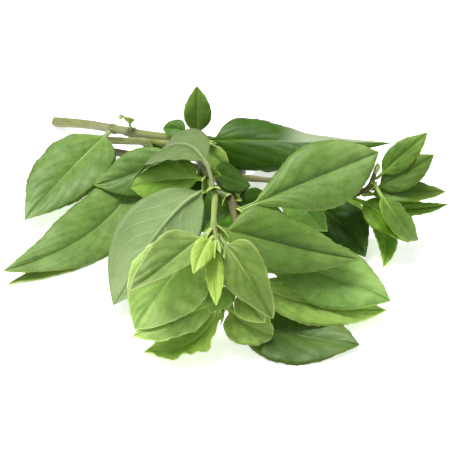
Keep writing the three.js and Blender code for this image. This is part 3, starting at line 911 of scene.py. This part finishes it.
# what is particular about a leaf; the rest follows from `leaf_habit` and `PLAIN_HABIT`
# the lightness and the fuller green set here are partly each leaf's own and partly painted light and
# shade: leaves lying in shadow are lifted or darkened
HABITS = {
    # the left
    "leaf_back_1": {"shade": 1.2, "tone": 0.5, "puff": 0.3, "ripple": 0.8},
    "leaf_right_1": {"shade": 1.2, "tone": 0.6, "ripple": 0.7},
    "leaf_far_1": {"shade": 0.9, "sun": 0.5},
    "leaf_front_3": {"shade": 1.1, "sun": 0.2},
    "leaf_right_14": {"shade": 0.88, "ripple": 0.2, "tooth": 0.1},
    "leaf_front_7": {"shade": 0.6, "sun": 0.2, "tooth": 0.1},
    "leaf_front_6": {"shade": 1.3, "sun": 0.7, "ripple": 0.8},
    "leaf_front_8": {"shade": 0.95, "sun": 0.8},
    "leaf_back_3": {"sun": 0.3},
    # the right
    "leaf_front_9": {"shade": 1.05, "sun": 0.35, "bulge": 1.5, "puff": 0.1},
    "leaf_right_3": {"shade": 1.3, "sun": 0.1, "bulge": 1.2, "puff": 0.14},
    "leaf_right_5": {"shade": 1.7, "sun": 0.1, "bulge": 1.0, "puff": 0.12},
    "leaf_right_7": {"shade": 1.35, "sun": 0.3, "tone": 0.9, "puff": 0.25},
    "leaf_right_10": {"shade": 0.8, "sun": 0.3, "bulge": 1.0},
    # the young leaves at the front
    "leaf_front_10": {"shade": 0.98, "tone": 0.85, "puff": 0.3, "cup": 1.6,
                      "ripple": 0.6, "ripples": 1.6},
    "leaf_front_12": {"shade": 1.6, "tone": 0.65, "puff": 0.34, "cup": 2.0, "ripple": 1.0,
                      "veins": 7},
    "leaf_right_8": {"shade": 1.6, "cup": 0.8, "sun": 0.2, "tone": 0.9},
    "leaf_front_13": {"shade": 0.8, "sun": 0.35, "tone": 0.8, "puff": 0.3, "cup": 2.2,
                      "ripple": 0.8, "ripples": 1.5},
    "leaf_front_14": {"shade": 1.12},
    "leaf_front_15": {"shade": 1.15},
    "leaf_right_9": {"shade": 1.1, "sun": 0.4, "cup": 0.6, "tone": 0.9},
    "leaf_right_11": {"shade": 1.6, "cup": 0.8, "ripple": 0.8, "tone": 1.0, "puff": 0.25},
    "leaf_right_12": {"shade": 1.2, "sun": 0.45, "tone": 1.0, "puff": 0.3, "cup": 1.5,
                      "ripple": 1.2, "ripples": 2.6, "tooth": 0.5},
    "leaf_right_13": {"shade": 1.1, "sun": 0.4, "tone": 1.0, "puff": 0.3, "cup": 1.8,
                      "ripple": 1.2, "tooth": 0.5},
    # the back
    "leaf_back_5": {"shade": 0.85, "sun": 0.8},
    "leaf_back_4": {"shade": 1.6, "sun": 0.3},
    "leaf_back_6": {"shade": 1.1, "sun": 0.3},
    "leaf_back_8": {"shade": 0.95, "sun": 1.0, "pale": 0.85},
    "leaf_back_9": {"shade": 1.3},
    # the dark middle
    "leaf_right_6": {"shade": 2.0, "sun": 0.3},
    "leaf_far_2": {"shade": 2.0},
    "leaf_far_3": {"shade": 1.7, "sun": 0.2},
    "leaf_far_4": {"shade": 0.65, "sun": 0.8},
    # the far tip
    "leaf_far_6": {"shade": 1.5, "sun": 0.7},
    "leaf_far_7": {"shade": 1.1, "sun": 1.0},
    "leaf_far_8": {"shade": 0.9, "sun": 0.8},
    "leaf_far_9": {"sun": 1.0},
    "leaf_far_10": {"sun": 0.6},
    "leaf_far_11": {"shade": 0.72, "sun": 0.7},
    "leaf_far_12": {"shade": 1.25, "sun": 0.5},
}

STEMS = {
    # how purple at the cut end and at the tip; how long the side and tip buds' leaves are, in mm
    "front": {"purple": (0.75, -0.35), "side_bud": 8.5, "tip_bud": 10.0},
    "right": {"purple": (0.75, 0.6), "side_bud": 7.0, "tip_bud": 6.0},
    "back": {"purple": (0.35, 0.15), "side_bud": 3.0, "tip_bud": 6.0},
    "far": {"purple": (0.7, 0.6), "side_bud": 3.5, "tip_bud": 5.0},
}
BUDS_WITHIN = (0.25, 0.97)   # side buds sit between these shares of the stem
SAMPLES = 400            # places tried along a curve
# where a stalk starts, from the stem's middle line, 0, to the end of the CAD stalk, 1
ROOT_OUT = 0.35
# what a leaf's length makes of its habit: the most, and the length in mm that brings it
GROWTH = {"puff": (0.18, 40), "bulge": (0.8, 50), "ripple": (0.5, 40), "tooth": (0.36, 35)}
FEWEST_VEINS = 3
VEIN_EVERY = 24          # mm
# steps that spread the leaves' seeds and tones evenly, whatever their number
SEED_STEP = 0.618
TONE_STEP = 0.382
LEAST_TONE = 0.3
TONE_RANGE = 0.4

TIP_LEAVES = [
    # turn round the stem, share of the full length, opening
    (0.3, 1.0, 0.55),
    (0.3 + math.pi, 0.9, 0.5),
    (0.3 + math.pi / 2, 0.75, 0.35),
    (0.3 - math.pi / 2, 0.7, 0.3),
    (0.7, 0.5, 0.15),
    (0.7 + math.pi, 0.5, 0.1),
]
TIP_OUT = 0.35 * MM      # how far from the stem's middle line they start
TIP_WIDTH = 0.5          # as a share of the length
TIP_CLOSING = 0.3        # how far past the stem's direction their tips bend, in radians
TIP_HABIT = {"veins": 4, "puff": 0.05, "bulge": 0.1, "ripple": 0.05, "tooth": 0.05, "teeth": 5,
             "tone": 0.6}

SIDE_LEAVES = [(0.5, 1.0), (-0.6, 0.8)]   # turn round the stem, share of the full length
SIDE_OUT = 1.2 * MM
SIDE_WIDTH = 0.62
SIDE_OPENING = 0.65
SIDE_CLOSING = 0.45
SIDE_HABIT = {"veins": 3, "puff": 0.03, "bulge": 0.08, "ripple": 0.04, "tooth": 0.0, "teeth": 5,
              "tone": 0.4}


def thick_end_first(loft):
    return loft if spread(loft[1]) > spread(loft[-2]) else loft[::-1]


def nearest_share(line, point):
    """The place on a curve that is closest to a point, as a share of the way and as a point."""
    share = np.linspace(0, 1, SAMPLES)
    places = along_curve(line, share)
    i = np.linalg.norm(places - point, axis=1).argmin()
    return share[i], places[i]


def add_piece(name, mesh, materials, node):
    piece = make_mesh(name, *mesh, materials)
    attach(piece, "root")
    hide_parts(node)


def leaf_habit(sheet, index):
    """What a leaf's length and place in the list make of it, unless HABITS says otherwise."""
    long = sheet.length / MM
    habit = {name: most * min(long / full, 1) for name, (most, full) in GROWTH.items()}
    habit["seed"] = (index * SEED_STEP) % 1
    habit["tone"] = LEAST_TONE + TONE_RANGE * ((index * TONE_STEP) % 1)
    habit["veins"] = FEWEST_VEINS + round(long / VEIN_EVERY)
    return habit


def shoot_tip(foot, axis, size):
    """A cluster of four small leaves round the stem's end, and two tinier ones between them."""
    level = unit(np.cross(axis, [0, 0, 1]))
    raised = np.cross(level, axis)
    parts = []
    for turn, scale, opening in TIP_LEAVES:
        outward = level * math.cos(turn) + raised * math.sin(turn)
        long = size * scale
        sheet = small_sheet(foot + outward * TIP_OUT, axis, outward, long, long * TIP_WIDTH,
                            opening, opening + TIP_CLOSING)
        parts.append(leaf_mesh(sheet, TIP_HABIT))
    return parts


def side_bud(place, axis, outward, size):
    """Two small leaves in the angle between the stem and a leaf's stalk."""
    sideways = np.cross(axis, outward)
    parts = []
    for turn, scale in SIDE_LEAVES:
        direction = unit(outward * math.cos(turn) + sideways * math.sin(turn))
        long = size * scale
        sheet = small_sheet(place + direction * SIDE_OUT, axis, direction, long,
                            long * SIDE_WIDTH, SIDE_OPENING, SIDE_CLOSING)
        parts.append(leaf_mesh(sheet, SIDE_HABIT))
    return parts


leaf_nodes = sorted(name for name in frame["nodes"] if name.startswith("leaf_"))
for stem, look in STEMS.items():
    stem_node = "stem_" + stem
    bud_node = "bud_" + stem
    loft = thick_end_first(rings(stem_node, STEM_AROUND))[1:-1]
    stem_line = np.array([ring.mean(axis=0) for ring in loft])
    joints = []
    buds = []
    for leaf in [name for name in leaf_nodes if name.split("_")[1] == stem]:
        index = leaf_nodes.index(leaf)
        sheet = cad_leaf(leaf)
        share, foot = nearest_share(stem_line, sheet.stalk[0])
        joints.append(share)
        habit = {**leaf_habit(sheet, index), **HABITS.get(leaf, {})}
        root = foot + (sheet.stalk[0] - foot) * ROOT_OUT
        mesh = leaf_mesh(sheet, habit, root)
        add_piece(leaf + "_blade", mesh, LEAF_MATERIALS[SLOT_OF[leaf]], leaf)
        if BUDS_WITHIN[0] < share < BUDS_WITHIN[1]:
            axis = unit(along_curve(stem_line, np.array([share + SMALL_STEP]))[0] - foot)
            outward = unit(sheet.stalk[0] - foot)
            outward = unit(outward - axis * np.dot(outward, axis))
            buds += side_bud(foot, axis, outward, look["side_bud"] * MM)
    add_piece(stem_node + "_skin", stem_mesh(loft, joints, look["purple"]),
              [STEM_MATERIALS[SLOT_OF[stem_node]]], stem_node)
    axis = unit(stem_line[-1] - stem_line[-2])
    buds += shoot_tip(stem_line[-1], axis, look["tip_bud"] * MM)
    add_piece(bud_node + "_leaves", joined(buds), LEAF_MATERIALS["leaf_bud"], bud_node)

# ------------------------------------------------------------------ stage

FLOOR_REACH = 60         # as many times the bunch's width, to each side
FLOOR_BELOW = 0.2 * MM
FLOOR_GLOW = 0.55
WORLD_LIGHT = 0.45
WHITE = (1, 1, 1, 1)

reach = (CAD_BOX[1].x - CAD_BOX[0].x) * FLOOR_REACH
corners = [(-reach, -reach, 0), (reach, -reach, 0), (reach, reach, 0), (-reach, reach, 0)]
floor_mesh = bpy.data.meshes.new("floor")
floor_mesh.from_pydata(corners, [], [(0, 1, 2, 3)])
floor = bpy.data.objects.new("floor", floor_mesh)
bpy.context.scene.collection.objects.link(floor)
floor.location.z = -FLOOR_BELOW
floor_material = bpy.data.materials.new("floor")
floor_material.use_nodes = True
shader = floor_material.node_tree.nodes["Principled BSDF"]
shader.inputs["Base Color"].default_value = (0.9, 0.9, 0.9, 1)
shader.inputs["Roughness"].default_value = 0.8
shader.inputs["Specular IOR Level"].default_value = 0.1
shader.inputs["Emission Color"].default_value = WHITE
shader.inputs["Emission Strength"].default_value = FLOOR_GLOW
floor_mesh.materials.append(floor_material)

world = bpy.data.worlds.new("studio")
world.use_nodes = True
background = world.node_tree.nodes["Background"]
background.inputs["Color"].default_value = WHITE
background.inputs["Strength"].default_value = WORLD_LIGHT
bpy.context.scene.world = world


def area_light(name, place, size, power):
    """A square light that faces the frame's origin; metres and watts."""
    data = bpy.data.lights.new(name, "AREA")
    data.size = size
    data.energy = power
    light = bpy.data.objects.new(name, data)
    light.location = place
    light.rotation_euler = (-Vector(place)).to_track_quat("-Z", "Y").to_euler()
    bpy.context.scene.collection.objects.link(light)


area_light("key", (-0.2, 0.15, 0.8), 0.35, 9)
area_light("fill", (-0.5, -0.6, 0.5), 0.8, 1.5)

# ------------------------------------------------------------------ camera

FOCUS_SHARE = (0.4912, 0.3698, 0.3406)   # of the bunch's box: the point looked at
ELEVATION = math.radians(35)
DISTANCE = 0.522
SENSOR = 36              # mm, like the lens
LENS = 109.9
low, high = CAD_BOX
focus = Vector(low[i] + (high[i] - low[i]) * FOCUS_SHARE[i] for i in range(3))
camera_data = bpy.data.cameras.new("camera")
camera_data.sensor_width = SENSOR
camera_data.lens = LENS
camera_data.clip_start = 0.01
camera = bpy.data.objects.new("camera", camera_data)
back = Vector((0, -math.cos(ELEVATION), math.sin(ELEVATION)))
camera.location = focus + back * DISTANCE
camera.rotation_euler = (-back).to_track_quat("-Z", "Y").to_euler()
bpy.context.scene.collection.objects.link(camera)
bpy.context.scene.camera = camera
bpy.context.scene.view_settings.view_transform = "Standard"
